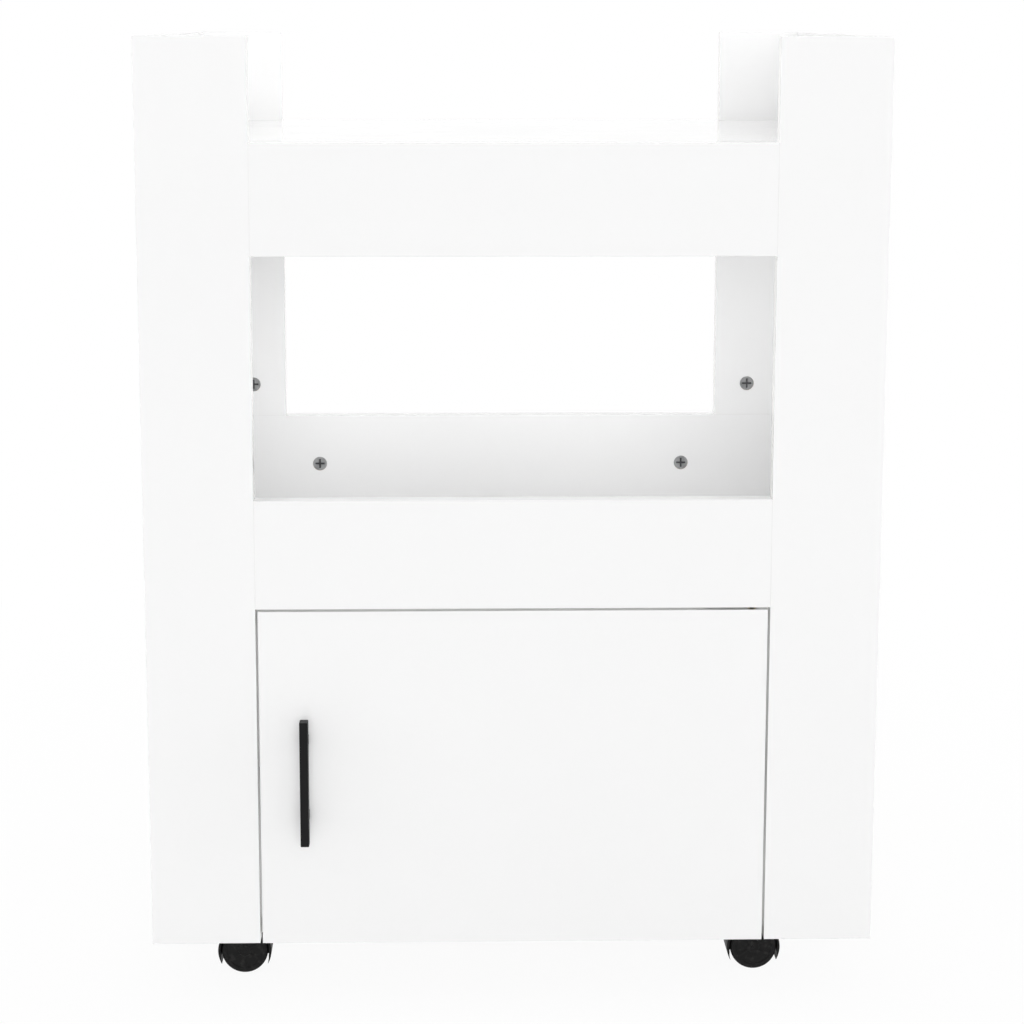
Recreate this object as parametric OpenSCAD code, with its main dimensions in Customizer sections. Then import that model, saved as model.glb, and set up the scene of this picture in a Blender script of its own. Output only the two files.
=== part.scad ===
// Microwave cart: white boards on four twin-wheel casters, with a top tray, a see-through
// compartment and a cabinet with one inset door. Millimetres, +Z up, the front faces -Y.
// The origin lies on the floor under the middle of the whole cart, its door handle included.

/* [Overall] */
// Width over the side panels
cart_w = 600; // [520:5:700]
// Depth from the front face of the posts to the rear face of the rear boards
cart_d = 450; // [400:5:520]
// Thickness of every board
board_t = 15; // [15:0.5:19]

/* [Frame] */
// Width of an upright post as seen from the front
post_w = 89.5; // [80:0.5:110]
// Height of each of the four cross rails
rail_h = 90; // [80:1:110]
// Clear height of the see-through window between the rails
window_h = 198; // [150:1:260]
// How far the posts and side panels rise above the deck
tray_h = 83.5; // [50:0.5:120]
// How far posts, panels and door hang below the underside of the bottom board
skirt_drop = 3; // [3:0.5:6]

/* [Door] */
// Height of the door
door_h = 283.5; // [250:0.5:340]
// Thickness of the door
door_t = 15; // [15:0.5:19]
// Gap between the door and each post
door_side_gap = 2; // [1.9:0.1:3]
// Gap between the door and the rail above it
door_top_gap = 2; // [1.5:0.1:4]
// Rest gap between a fixed part and the back of the closed door
door_rest_gap = 0.3; // [0.2:0.1:0.6]
// Distance from the back of the closed door to the edge of the bottom board
door_back_gap = 1.5; // [1.2:0.1:3]

/* [Door pivot] */
// Distance of the pivot pins from the hinged edge of the door
pivot_inset = 12.5; // [12.5:0.5:16]
// Distance of the pivot pins behind the front of the door
pivot_back = 6; // [5.5:0.1:6.2]
// Diameter of a pivot pin
pivot_pin_d = 4; // [3:0.1:4.5]
// Length of a pivot pin inside its bush
pivot_pin_l = 8; // [6:0.5:12]
// Outer diameter of a pivot bush
bush_d = 7; // [6.5:0.1:7.6]
// Length of a pivot bush
bush_l = 11; // [10:0.5:16]
// Thickness of the pivot plate and of the pivot bracket
pivot_plate_t = 2; // [1.5:0.1:2.5]
// Width of the upper pivot plate
pivot_plate_w = 10; // [9:0.5:11]
// Length of the upper pivot plate
pivot_plate_l = 44; // [40:1:60]
// Width of the lower bracket's tongue under the door
tongue_w = 9; // [8:0.1:9.4]
// Width of the lower bracket where it is screwed on
bracket_w = 22; // [20:1:28]
// Length of the screwed part of the lower bracket
bracket_l = 30; // [28:1:34]
// Play around the lower bracket's tongue in the recess of the door
tongue_play = 0.3; // [0.2:0.1:0.5]

/* [Handle] */
// Height of the handle's upright bar
handle_bar_l = 105; // [98:1:180]
// Width of the bar across the door
handle_bar_w = 7; // [6.5:0.5:12]
// Thickness of the bar, square to the door
handle_bar_t = 11; // [8:0.5:12]
// Distance between the handle's two screws, each in the middle of a leg
handle_pitch = 64; // [48:1:84]
// Height of a leg of the handle, along the door
handle_leg_h = 8; // [7:0.5:12]
// Width of a leg of the handle across the door
handle_leg_w = 6; // [5.5:0.1:6.5]
// Reach of the handle in front of the door
handle_reach = 25; // [22:1:40]
// Distance of the handle's middle from the free edge of the door
handle_inset = 37.5; // [25:0.5:80]
// Height of the handle's middle above the middle of the door
handle_rise = 2.5; // [0:0.5:60]

/* [Cam joints] */
// Diameter of a cam nut
cam_d = 13.5; // [11:0.5:15]
// Height of a cam nut
cam_h = 11.6; // [11:0.1:12]
// Depth of the pocket that holds a cam nut
cam_pocket = 12; // [11.8:0.1:12.5]
// Distance from a board's end to the centre of its cam nut
cam_setback = 34; // [24:0.5:40]
// Height of the visible cam nuts in the posts above the joint under them
post_cam_rise = 31; // [24:0.5:40]
// Height of the visible cam nuts in the rear rail above the joint under them
rail_cam_rise = 42; // [24:0.5:56]
// Distance of a post's visible cam nut from the post's inner edge
post_cam_in = 31.5; // [24:0.5:40]
// Distance of the rear rail's visible cam nuts from the middle of the cart
rail_cam_x = 178; // [120:1:190]
// Diameter of a cam bolt's head and collar
cam_bolt_head_d = 6.6; // [6:0.1:7]
// Diameter of a cam bolt's shank
cam_bolt_shank_d = 5; // [4:0.1:5.5]
// Diameter of the thread of a cam bolt
cam_thread_d = 6; // [5:0.1:6.5]
// Length of the thread of a cam bolt
cam_thread_l = 11; // [9:0.5:12]
// Diameter of the hole that a cam bolt passes through
cam_bolt_hole_d = 7.4; // [7.2:0.1:8]

/* [Dowels] */
// Diameter of a wooden dowel
dowel_d = 8; // [6:0.5:8.5]
// Length of a wooden dowel
dowel_l = 30; // [25:1:40]
// Depth of a dowel in the board that it stands in
dowel_in = 10; // [8:0.5:12]

/* [Casters] */
// Diameter of a caster wheel
wheel_d = 40; // [36:1:46]
// Width of one of the two wheels of a caster
wheel_w = 11.5; // [10:0.5:14]
// Thickness of the housing's web between the two wheels
web_t = 8; // [7.5:0.5:10]
// Play between a wheel and the web beside it
wheel_side_play = 0.5; // [0.4:0.1:0.8]
// Play between a wheel's tread and the hood over it
hood_play = 0.8; // [0.6:0.1:1.2]
// Wall thickness of the hood
hood_wall = 2.2; // [1.8:0.1:3]
// Distance of the wheels' axle behind the swivel axis
caster_trail = 9.3; // [8:0.1:12]
// Diameter of the swivel head on top of the hood
swivel_d = 18; // [16:0.5:20]
// Height from the top of the hood to the mounting plate
swivel_h = 11; // [8:0.5:16]
// Play between the swivel head and the mounting plate
swivel_play = 0.2; // [0.1:0.1:0.4]
// Diameter of the kingpin
kingpin_d = 5; // [4.5:0.1:5.4]
// Length of the kingpin below the mounting plate
kingpin_l = 26; // [22:0.5:28]
// Diameter of the wheels' axle
axle_d = 5; // [4:0.1:6]
// Length of the wheels' axle
axle_l = 28; // [24:0.5:29]
// Side length of a mounting plate
plate_side = 42; // [40:1:50]
// Thickness of a mounting plate
plate_t = 2; // [1.5:0.1:3]
// Distance between the screws of a mounting plate
plate_pitch = 30; // [28:0.5:34]
// Distance of a swivel axis from the outer face of the side panel
caster_in_x = 80; // [70:1:110]
// Distance of a swivel axis from the front or rear face of the cart
caster_in_y = 83; // [76:1:110]

/* [Catch and screws] */
// Distance of the magnet catch from the free edge of the door
catch_inset = 60; // [50:1:120]
// Length of the magnet catch
catch_l = 46; // [44:1:60]
// Depth of the magnet catch
catch_d = 16; // [14:0.5:20]
// Height of the magnet catch
catch_h = 13; // [12:0.5:16]
// Width of the strike plate on the door
strike_w = 38; // [30:1:44]
// Height of the strike plate on the door
strike_h = 14; // [12:0.5:18]
// Thickness of the strike plate on the door
strike_t = 1; // [0.8:0.1:1.1]
// Diameter of a door bumper
bumper_d = 8; // [6:0.5:10]
// Diameter of a wood screw's shank
screw_d = 3.5; // [3:0.1:3.8]
// Diameter of a screw's head
screw_head_d = 6.6; // [6:0.1:7]
// Height of a screw's head
screw_head_h = 1.8; // [1.4:0.1:2.2]
// Length of a screw inside the wood
screw_l = 9; // [7:0.5:10]
// Play around a screw in a metal plate
screw_hole_play = 0.35; // [0.2:0.05:0.5]
// Diameter of a handle screw's shank
handle_screw_d = 4; // [3:0.1:4.2]
// Length of a handle screw inside the handle's leg
handle_screw_l = 8; // [6:0.5:12]

/* [Fits] */
// Play on the radius of a shaft that turns in a hole
run_fit = 0.05; // [0.03:0.01:0.08]
// Play on the radius of a screw, bolt, nut or dowel in its hole
seat_fit = 0.1; // [0.05:0.01:0.15]

/* [Hidden] */
$fn = 48;
// A cut runs this far past the face that it opens
past = 1;

// Heights, from the floor up
wheel_r = wheel_d / 2;
hood_r = wheel_r + hood_play + hood_wall;
caster_h = wheel_r + hood_r + swivel_h + plate_t;
base_z = caster_h;
frame_z = base_z - skirt_drop;
door_z1 = frame_z + door_h;
rail_bottom = door_z1 + door_top_gap;
rail_top = rail_bottom + rail_h;
// The middle shelf lies behind the door's upper edge, its top level with the rail's underside
shelf_top = rail_bottom;
shelf_z = shelf_top - board_t;
upper_rail_z = rail_top + window_h;
deck_top = upper_rail_z + rail_h;
deck_z = deck_top - board_t;
top_z = deck_top + tray_h;

// Plan: the handle's reach counts in the cart's box, so the body sits half of it to the rear
front_y = (handle_reach - cart_d) / 2;
rear_y = front_y + cart_d;
inner_front_y = front_y + board_t;
inner_rear_y = rear_y - board_t;
half_w = cart_w / 2;
inner_x = half_w - board_t;
post_in_x = half_w - post_w;
mid_front_y = front_y + board_t / 2;
mid_rear_y = rear_y - board_t / 2;
side_mid_x = half_w - board_t / 2;

// Door
door_half_w = post_in_x - door_side_gap;
door_back_y = front_y + door_t;
pivot_x = door_half_w - pivot_inset;
pivot_y = front_y + pivot_back;
shelf_front_y = door_back_y + door_back_gap;
// Greatest reach of the door's hinged edge behind the pivot while the door turns
stub_r = norm([pivot_inset, door_t - pivot_back]);
stub_clear = 2;
handle_x = -door_half_w + handle_inset;
handle_z = (frame_z + door_z1) / 2 + handle_rise;
// Height of the recess over the tongue, above the door's lower edge
recess_h = skirt_drop + tongue_play;
// The bracket is screwed on behind the notch of the bottom board
bracket_y = pivot_y + stub_r + stub_clear;
pivot_plate_end = 6;
// Places of the screws along the pivot plate and along the bracket, as parts of their lengths
plate_screws_at = [0.35, 0.75];
bracket_screws_at = [0.25, 0.75];

// Catch, strike plate and bumpers
catch_x = -door_half_w + catch_inset;
catch_y = door_back_y + strike_t + door_rest_gap;
catch_foot = 10;
catch_foot_t = 3;
strike_z = shelf_z - catch_h / 2;
strike_screw_in = 5;
bumper_free_in = 12;
bumper_hinge_in = 60;
bumper_x = [-door_half_w + bumper_free_in, door_half_w - bumper_hinge_in];

// Casters
caster_half = web_t / 2 + wheel_side_play + wheel_w;
swivel_top = caster_h - plate_t - swivel_play;
kingpin_z = caster_h - plate_t - kingpin_l;
hood_drop = 6.75;
hood_tip_angle = 30;
// Radius of the cut that thins the hood out to its tips, from a centre hood_drop below the axle
hood_cut_r = sqrt(pow(hood_r, 2) - 2 * hood_r * hood_drop * sin(hood_tip_angle)
    + pow(hood_drop, 2));
web_drop = 7;
web_z = wheel_r - web_drop;
tread_ease = 1.2;
rim_w = 3;
dish = 0.8;
hub_r = 5;
axle_in_wheel = axle_l / 2 - web_t / 2 - wheel_side_play;
axle_end_play = 0.3;
plate_corner_r = 4;
// Facets of the wheels and of the hood around them
wheel_fn = 96;

// One cam joint: a point on the joint's plane in the middle of the board that holds the cam
// nut, the way from that plane into that board, the way that the nut faces, and the setback
function cam(at, into, face, back) = [at, into, face, back];

// Heights of the bolts that hold the side panels to the front posts and to the rear boards
side_low = 54;
side_window = 70;
side_high = 34;
front_bolt_z = [frame_z + side_low, rail_top + side_window, upper_rail_z + side_high];
rear_bolt_z = [frame_z + side_low, (shelf_top + rail_top) / 2, rail_top + side_window,
    upper_rail_z + side_high];
// Places of the shelves' bolts and dowels along the depth, from the middle of the panels
panel_mid_y = (inner_front_y + inner_rear_y) / 2;
shelf_bolt_y = 90;
shelf_dowel_y = 160;
shelf_mid_z = [base_z + board_t / 2, shelf_z + board_t / 2, deck_z + board_t / 2];
upper_rail_mid = upper_rail_z + rail_h / 2;
lower_rail_mid = rail_bottom + rail_h / 2;
rail_dowel_rise = 25;
post_dowel_in = 25;
post_dowel_x = half_w - post_dowel_in;
rail_dowel_out = 50;
rail_dowel_x = rail_cam_x + rail_dowel_out;

function post_back_cams(s) = [cam([s * (post_in_x + post_cam_in), mid_rear_y, rail_top],
    [0, 0, 1], [0, -1, 0], post_cam_rise)];
function rail_back_cams(s) = [cam([s * rail_cam_x, mid_rear_y, shelf_top],
    [0, 0, 1], [0, -1, 0], rail_cam_rise)];
function front_rail_cam(s, z) = cam([s * post_in_x, mid_front_y, z], [-s, 0, 0], [0, 1, 0],
    cam_setback);
function rear_rail_cam(s) = cam([s * post_in_x, mid_rear_y, upper_rail_mid], [-s, 0, 0],
    [0, -1, 0], cam_setback);
function side_front_cams(s) = [for (z = front_bolt_z)
    cam([s * side_mid_x, inner_front_y, z], [0, 1, 0], [-s, 0, 0], cam_setback)];
function side_rear_cams(s) = [for (z = rear_bolt_z)
    cam([s * side_mid_x, inner_rear_y, z], [0, -1, 0], [-s, 0, 0], cam_setback)];
function shelf_cams(s, z) = [for (e = [-1, 1])
    cam([s * inner_x, panel_mid_y + e * shelf_bolt_y, z], [-s, 0, 0], [0, 0, -1], cam_setback)];
function all_shelf_cams(s) = [for (z = shelf_mid_z) each shelf_cams(s, z)];
function shelf_dowels(s, z) = [for (e = [-1, 1])
    cam([s * inner_x, panel_mid_y + e * shelf_dowel_y, z], [-s, 0, 0], [0, 0, -1], 0)];
function all_shelf_dowels(s) = [for (z = shelf_mid_z) each shelf_dowels(s, z)];
function front_rail_dowel(s, z) = cam([s * post_in_x, mid_front_y, z + rail_dowel_rise],
    [-s, 0, 0], [0, 1, 0], 0);
function rear_rail_dowel(s) = cam([s * post_in_x, mid_rear_y, upper_rail_mid - rail_dowel_rise],
    [-s, 0, 0], [0, -1, 0], 0);
function post_dowel(s) = cam([s * post_dowel_x, mid_rear_y, rail_top], [0, 0, 1], [0, -1, 0], 0);
function rail_dowel(s) = cam([s * rail_dowel_x, mid_rear_y, shelf_top], [0, 0, 1], [0, -1, 0], 0);

BACK_CAMS = [for (s = [-1, 1]) each concat(post_back_cams(s), rail_back_cams(s))];
RAIL_CAMS = [for (s = [-1, 1]) each [front_rail_cam(s, upper_rail_mid),
    front_rail_cam(s, lower_rail_mid), rear_rail_cam(s)]];
SIDE_CAMS = [for (s = [-1, 1]) each concat(side_front_cams(s), side_rear_cams(s))];
SHELF_CAMS = [for (s = [-1, 1]) each all_shelf_cams(s)];
DOWELS = [for (s = [-1, 1]) each concat(all_shelf_dowels(s),
    [front_rail_dowel(s, upper_rail_mid), front_rail_dowel(s, lower_rail_mid),
    rear_rail_dowel(s), post_dowel(s), rail_dowel(s)])];

// Colours, as the photograph shows them
board_c = [0.96, 0.96, 0.96];
black_c = [0.12, 0.12, 0.12];
steel_c = [0.72, 0.73, 0.75];
zinc_c = [0.62, 0.63, 0.64];
wood_c = [0.80, 0.66, 0.45];
brass_c = [0.78, 0.66, 0.36];
clear_c = [0.90, 0.92, 0.93];

// Name of each corner, its side across the cart and its side along the depth
CORNERS = [["front_left", -1, -1], ["front_right", 1, -1], ["rear_left", -1, 1],
    ["rear_right", 1, 1]];

// ---- Helpers ----

// A block between two corners
module block(lo, hi) translate(lo) cube(hi - lo);

// A block that is the same on the side s of the cart's middle, from x0 to x1 out
module side_block(s, x0, x1, y, z)
    block([min(s * x0, s * x1), y[0], z[0]], [max(s * x0, s * x1), y[1], z[1]]);

// Places children at a cam joint: z runs into the board with the nut, x is the way it faces
module at_joint(j) {
    x = j[2];
    z = j[1];
    y = cross(z, x);
    p = j[0];
    multmatrix([[x[0], y[0], z[0], p[0]], [x[1], y[1], z[1], p[1]], [x[2], y[2], z[2], p[2]],
        [0, 0, 0, 1]]) children();
}

// Pocket, bolt hole and thread hole of cam joints
module cam_cuts(joints) {
    for (j = joints) at_joint(j) {
        translate([board_t / 2 - cam_pocket, 0, j[3]]) rotate([0, 90, 0])
            cylinder(d = cam_d + 2 * seat_fit, h = cam_pocket + past);
        cylinder(d = cam_bolt_hole_d, h = j[3]);
        translate([0, 0, -cam_thread_l]) cylinder(d = cam_thread_d + 2 * seat_fit, h = cam_thread_l);
    }
}

// Holes of dowels, on both sides of the joint's plane
dowel_room = 0.5;
module dowel_cuts(joints) {
    for (j = joints) at_joint(j) translate([0, 0, -dowel_in])
        cylinder(d = dowel_d + 2 * seat_fit, h = dowel_l + dowel_room);
}

// Nut of one cam joint, with its cross recess and the channel that takes the bolt's head
module cam_nut(j) {
    cross_l = 9;
    cross_w = 1.8;
    cross_deep = 2;
    channel_d = cam_bolt_head_d + 0.8;
    head_room = 2;
    at_joint(j) translate([board_t / 2 - cam_pocket, 0, j[3]]) rotate([0, 90, 0]) difference() {
        cylinder(d = cam_d, h = cam_h);
        for (a = [0, 90]) rotate([0, 0, a])
            translate([-cross_l / 2, -cross_w / 2, cam_h - cross_deep])
                cube([cross_l, cross_w, cross_deep + past]);
        translate([-head_room, 0, cam_pocket - board_t / 2]) rotate([0, 90, 0])
            cylinder(d = channel_d, h = cam_d / 2 + head_room + past);
    }
}

// Bolt of one cam joint: thread, collar on the joint's plane, shank and head inside the nut
module cam_bolt(j) {
    collar_l = 2;
    head_l = 3;
    at_joint(j) {
        translate([0, 0, -cam_thread_l]) cylinder(d = cam_thread_d, h = cam_thread_l);
        cylinder(d = cam_bolt_head_d, h = collar_l);
        cylinder(d = cam_bolt_shank_d, h = j[3]);
        translate([0, 0, j[3] - head_l / 2]) cylinder(d = cam_bolt_head_d, h = head_l);
    }
}

module cam_nuts(joints) color(zinc_c) for (j = joints) cam_nut(j);
module cam_bolts(joints) color(steel_c) for (j = joints) cam_bolt(j);

module wooden_dowels() color(wood_c) for (j = DOWELS) at_joint(j) translate([0, 0, -dowel_in])
    cylinder(d = dowel_d, h = dowel_l);

// Screw that points up from z = 0, with its head below
module screw(l) {
    tip_l = 2;
    translate([0, 0, -screw_head_h]) cylinder(d = screw_head_d, h = screw_head_h);
    cylinder(d = screw_d, h = l - tip_l);
    translate([0, 0, l - tip_l]) cylinder(d1 = screw_d, d2 = screw_d / 3, h = tip_l);
}

// Hole in wood that a screw of the same length bites into
module screw_cut(l) cylinder(d = screw_d + 2 * seat_fit, h = l);

// Countersunk screw that points up from z = 0, where its head is flush
module flat_screw(l) {
    cylinder(d1 = screw_head_d, d2 = screw_d, h = (screw_head_d - screw_d) / 2);
    cylinder(d = screw_d, h = l);
}

// Its hole, with the countersink, open below z = 0
module flat_screw_cut(l) {
    translate([0, 0, -past]) cylinder(d = screw_head_d + 2 * seat_fit, h = past);
    cylinder(d1 = screw_head_d + 2 * seat_fit, d2 = screw_d, h = (screw_head_d - screw_d) / 2);
    cylinder(d = screw_d + 2 * seat_fit, h = l);
}

// ---- Boards ----

module side_panel(s) color(board_c) difference() {
    side_block(s, inner_x, half_w, [inner_front_y, inner_rear_y], [frame_z, top_z]);
    cam_cuts(side_front_cams(s));
    cam_cuts(side_rear_cams(s));
    cam_cuts(all_shelf_cams(s));
    dowel_cuts(all_shelf_dowels(s));
}

module front_post(s) color(board_c) difference() {
    side_block(s, post_in_x, half_w, [front_y, inner_front_y], [frame_z, top_z]);
    cam_cuts(side_front_cams(s));
    cam_cuts([front_rail_cam(s, upper_rail_mid), front_rail_cam(s, lower_rail_mid)]);
    dowel_cuts([front_rail_dowel(s, upper_rail_mid), front_rail_dowel(s, lower_rail_mid)]);
}

// The rear posts stand on the rear lower rail
module rear_post(s) color(board_c) difference() {
    side_block(s, post_in_x, half_w, [inner_rear_y, rear_y], [rail_top, top_z]);
    cam_cuts([side_rear_cams(s)[2], side_rear_cams(s)[3]]);
    cam_cuts(post_back_cams(s));
    cam_cuts([rear_rail_cam(s)]);
    dowel_cuts([rear_rail_dowel(s), post_dowel(s)]);
}

module front_upper_rail() color(board_c) difference() {
    block([-post_in_x, front_y, upper_rail_z], [post_in_x, inner_front_y, deck_top]);
    for (s = [-1, 1]) {
        cam_cuts([front_rail_cam(s, upper_rail_mid)]);
        dowel_cuts([front_rail_dowel(s, upper_rail_mid)]);
    }
}

module front_lower_rail() color(board_c) difference() {
    block([-post_in_x, front_y, rail_bottom], [post_in_x, inner_front_y, rail_top]);
    for (s = [-1, 1]) {
        cam_cuts([front_rail_cam(s, lower_rail_mid)]);
        dowel_cuts([front_rail_dowel(s, lower_rail_mid)]);
    }
    pivot_plate_pocket();
    pivot_plate_screws() flat_screw_cut(screw_l);
}

module rear_upper_rail() color(board_c) difference() {
    block([-post_in_x, inner_rear_y, upper_rail_z], [post_in_x, rear_y, deck_top]);
    for (s = [-1, 1]) {
        cam_cuts([rear_rail_cam(s)]);
        dowel_cuts([rear_rail_dowel(s)]);
    }
}

// Full-width rail that stands on the back panel and carries the rear posts
module rear_lower_rail() color(board_c) difference() {
    block([-half_w, inner_rear_y, shelf_top], [half_w, rear_y, rail_top]);
    for (s = [-1, 1]) {
        cam_cuts([side_rear_cams(s)[1]]);
        cam_cuts(post_back_cams(s));
        cam_cuts(rail_back_cams(s));
        dowel_cuts([post_dowel(s), rail_dowel(s)]);
    }
}

module back_panel() color(board_c) difference() {
    block([-half_w, inner_rear_y, frame_z], [half_w, rear_y, shelf_top]);
    for (s = [-1, 1]) {
        cam_cuts([side_rear_cams(s)[0]]);
        cam_cuts(rail_back_cams(s));
        dowel_cuts([rail_dowel(s)]);
    }
}

// Board between the side panels, with its underside at z
module shelf_board(z, y0) difference() {
    block([-inner_x, y0, z], [inner_x, inner_rear_y, z + board_t]);
    for (s = [-1, 1]) {
        cam_cuts(shelf_cams(s, z + board_t / 2));
        dowel_cuts(shelf_dowels(s, z + board_t / 2));
    }
}

module top_board() color(board_c) shelf_board(deck_z, inner_front_y);

// The two boards behind the door stop short of it and give way to its turning edge
module board_behind_door(z) difference() {
    shelf_board(z, shelf_front_y);
    block([pivot_x - stub_r - stub_clear, shelf_front_y - past, z - past],
        [post_in_x + stub_clear, pivot_y + stub_r + stub_clear, z + board_t + past]);
}

module middle_shelf() color(board_c) difference() {
    board_behind_door(shelf_z);
    catch_screw_places() screw_cut(screw_l);
}

module bottom_board() color(board_c) difference() {
    board_behind_door(base_z);
    for (c = CORNERS) caster_screw_places(c) screw_cut(screw_l);
    bracket_screw_places() screw_cut(screw_l);
}

// ---- Door and its pivots ----

module door() color(board_c) difference() {
    block([-door_half_w, front_y, frame_z], [door_half_w, door_back_y, door_z1]);
    // recess over the tongue of the lower bracket, open to the rear and to the hinged edge
    translate([pivot_x, pivot_y, frame_z - past]) {
        cylinder(r = tongue_w / 2 + tongue_play, h = recess_h + past);
        translate([-tongue_w / 2 - tongue_play, 0, 0])
            cube([tongue_w + pivot_inset, door_t, recess_h + past]);
        translate([0, -tongue_w / 2 - tongue_play, 0])
            cube([pivot_inset + past, door_t + tongue_w, recess_h + past]);
    }
    for (z = [door_z1 - bush_l, base_z]) translate([pivot_x, pivot_y, z])
        cylinder(d = bush_d + 2 * seat_fit, h = bush_l);
    handle_screw_places() cylinder(d = handle_screw_d + 2 * screw_hole_play, h = door_t + past);
    strike_screw_places() flat_screw_cut(screw_l);
}

module bush(z, open_up) color(brass_c) translate([pivot_x, pivot_y, z]) difference() {
    cylinder(d = bush_d, h = bush_l);
    translate([0, 0, open_up ? bush_l - pivot_pin_l - past : -past])
        cylinder(d = pivot_pin_d + 2 * run_fit, h = pivot_pin_l + 2 * past);
}
module upper_bush() bush(door_z1 - bush_l, true);
module lower_bush() bush(base_z, false);

module pivot_plate_pocket() translate([0, 0, rail_bottom - past])
    linear_extrude(pivot_plate_t + past) pivot_plate_outline(seat_fit);

module pivot_plate_outline(grow)
    translate([pivot_x + pivot_plate_end - pivot_plate_l / 2, mid_front_y])
        square([pivot_plate_l + 2 * grow, pivot_plate_w + 2 * grow], center = true);

// The upper plate is let into the rail and carries the upper pin
module pivot_plate() color(steel_c) difference() {
    union() {
        translate([0, 0, rail_bottom]) linear_extrude(pivot_plate_t) pivot_plate_outline(0);
        translate([pivot_x, pivot_y, rail_bottom - door_top_gap - pivot_pin_l])
            cylinder(d = pivot_pin_d, h = door_top_gap + pivot_pin_l + pivot_plate_t / 2);
    }
    pivot_plate_screws() flat_screw_cut(pivot_plate_t + past);
}

module pivot_plate_screws() for (k = plate_screws_at)
    translate([pivot_x - k * pivot_plate_l, mid_front_y, rail_bottom]) children();

module pivot_bracket() color(steel_c) difference() {
    union() {
        translate([pivot_x, pivot_y, base_z - pivot_plate_t]) {
            cylinder(d = tongue_w, h = pivot_plate_t);
            cylinder(d = pivot_pin_d, h = pivot_plate_t + pivot_pin_l);
        }
        block([pivot_x - tongue_w / 2, pivot_y, base_z - pivot_plate_t],
            [pivot_x + tongue_w / 2, bracket_y + past, base_z]);
        block([pivot_x - bracket_w / 2, bracket_y, base_z - pivot_plate_t],
            [pivot_x + bracket_w / 2, bracket_y + bracket_l, base_z]);
    }
    bracket_screw_places() translate([0, 0, -pivot_plate_t - past])
        cylinder(d = screw_d + 2 * screw_hole_play, h = pivot_plate_t + 2 * past);
}

module bracket_screw_places() for (k = bracket_screws_at)
    translate([pivot_x, bracket_y + k * bracket_l, base_z]) children();

module pivot_screws() color(steel_c) {
    pivot_plate_screws() flat_screw(screw_l);
    bracket_screw_places() translate([0, 0, -pivot_plate_t]) screw(screw_l + pivot_plate_t);
}

// ---- Handle ----

// An upright bar on two legs, which stand behind it, well in from its ends
module door_handle() color(black_c) difference() {
    union() {
        translate([handle_x - handle_bar_w / 2, front_y - handle_reach, handle_z - handle_bar_l / 2])
            cube([handle_bar_w, handle_bar_t, handle_bar_l]);
        handle_screw_places() translate([-handle_leg_w / 2, -handle_leg_h / 2, 0])
            mirror([0, 0, 1]) cube([handle_leg_w, handle_leg_h, handle_reach - handle_bar_t / 2]);
    }
    handle_screw_places() translate([0, 0, -handle_screw_l])
        cylinder(d = handle_screw_d + 2 * seat_fit, h = handle_screw_l + past);
}

// Frames with z pointing from the door's front face to its back
module handle_screw_places() for (s = [-1, 1])
    translate([handle_x, front_y, handle_z + s * handle_pitch / 2]) rotate([-90, 0, 0]) children();

module handle_screws() color(steel_c) handle_screw_places() {
    translate([0, 0, -handle_screw_l]) cylinder(d = handle_screw_d, h = handle_screw_l + door_t);
    translate([0, 0, door_t]) cylinder(d = screw_head_d, h = screw_head_h);
}

// ---- Catch, strike and bumpers ----

module magnet_catch() color(clear_c) difference() {
    block([catch_x - catch_l / 2, catch_y, shelf_z - catch_h],
        [catch_x + catch_l / 2, catch_y + catch_d, shelf_z]);
    // feet at both ends are thinner than the middle that holds the magnet
    for (s = [-1, 1]) translate([catch_x + s * catch_l / 2, 0, 0])
        block([-catch_foot, catch_y - past, shelf_z - catch_h - past],
            [catch_foot, catch_y + catch_d + past, shelf_z - catch_foot_t]);
    catch_screw_places() translate([0, 0, -catch_foot_t - past])
        cylinder(d = screw_d + 2 * screw_hole_play, h = catch_foot_t + 2 * past);
}

module catch_screw_places() for (s = [-1, 1])
    translate([catch_x + s * (catch_l / 2 - catch_foot / 2), catch_y + catch_d / 2, shelf_z])
        children();

module catch_screws() color(steel_c) catch_screw_places()
    translate([0, 0, -catch_foot_t]) screw(screw_l + catch_foot_t);

module strike_plate() color(steel_c) difference() {
    block([catch_x - strike_w / 2, door_back_y, strike_z - strike_h / 2],
        [catch_x + strike_w / 2, door_back_y + strike_t, strike_z + strike_h / 2]);
    strike_screw_places() flat_screw_cut(strike_t + past);
}

// Frames with z pointing from the face of the strike plate into the door
module strike_screw_places() for (s = [-1, 1])
    translate([catch_x + s * (strike_w / 2 - strike_screw_in), door_back_y + strike_t, strike_z])
        rotate([90, 0, 0]) children();

module strike_screws() color(steel_c) strike_screw_places() flat_screw(screw_l);

module door_bumpers() color(clear_c) for (x = bumper_x)
    translate([x, shelf_front_y, base_z + board_t / 2]) rotate([90, 0, 0])
        cylinder(d = bumper_d, h = door_back_gap - door_rest_gap);

// ---- Casters: each stands at a corner c, with its wheels trailing to the left ----

module at_caster(c) translate([c[1] * (half_w - caster_in_x),
    c[2] < 0 ? front_y + caster_in_y : rear_y - caster_in_y, 0]) children();

// A round disc about the wheels' axle, between two distances from the web's middle
module wheel_disc(r, y0, y1) translate([-caster_trail, y0, wheel_r]) rotate([-90, 0, 0])
    cylinder(r = r, h = y1 - y0, $fn = wheel_fn);

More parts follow.
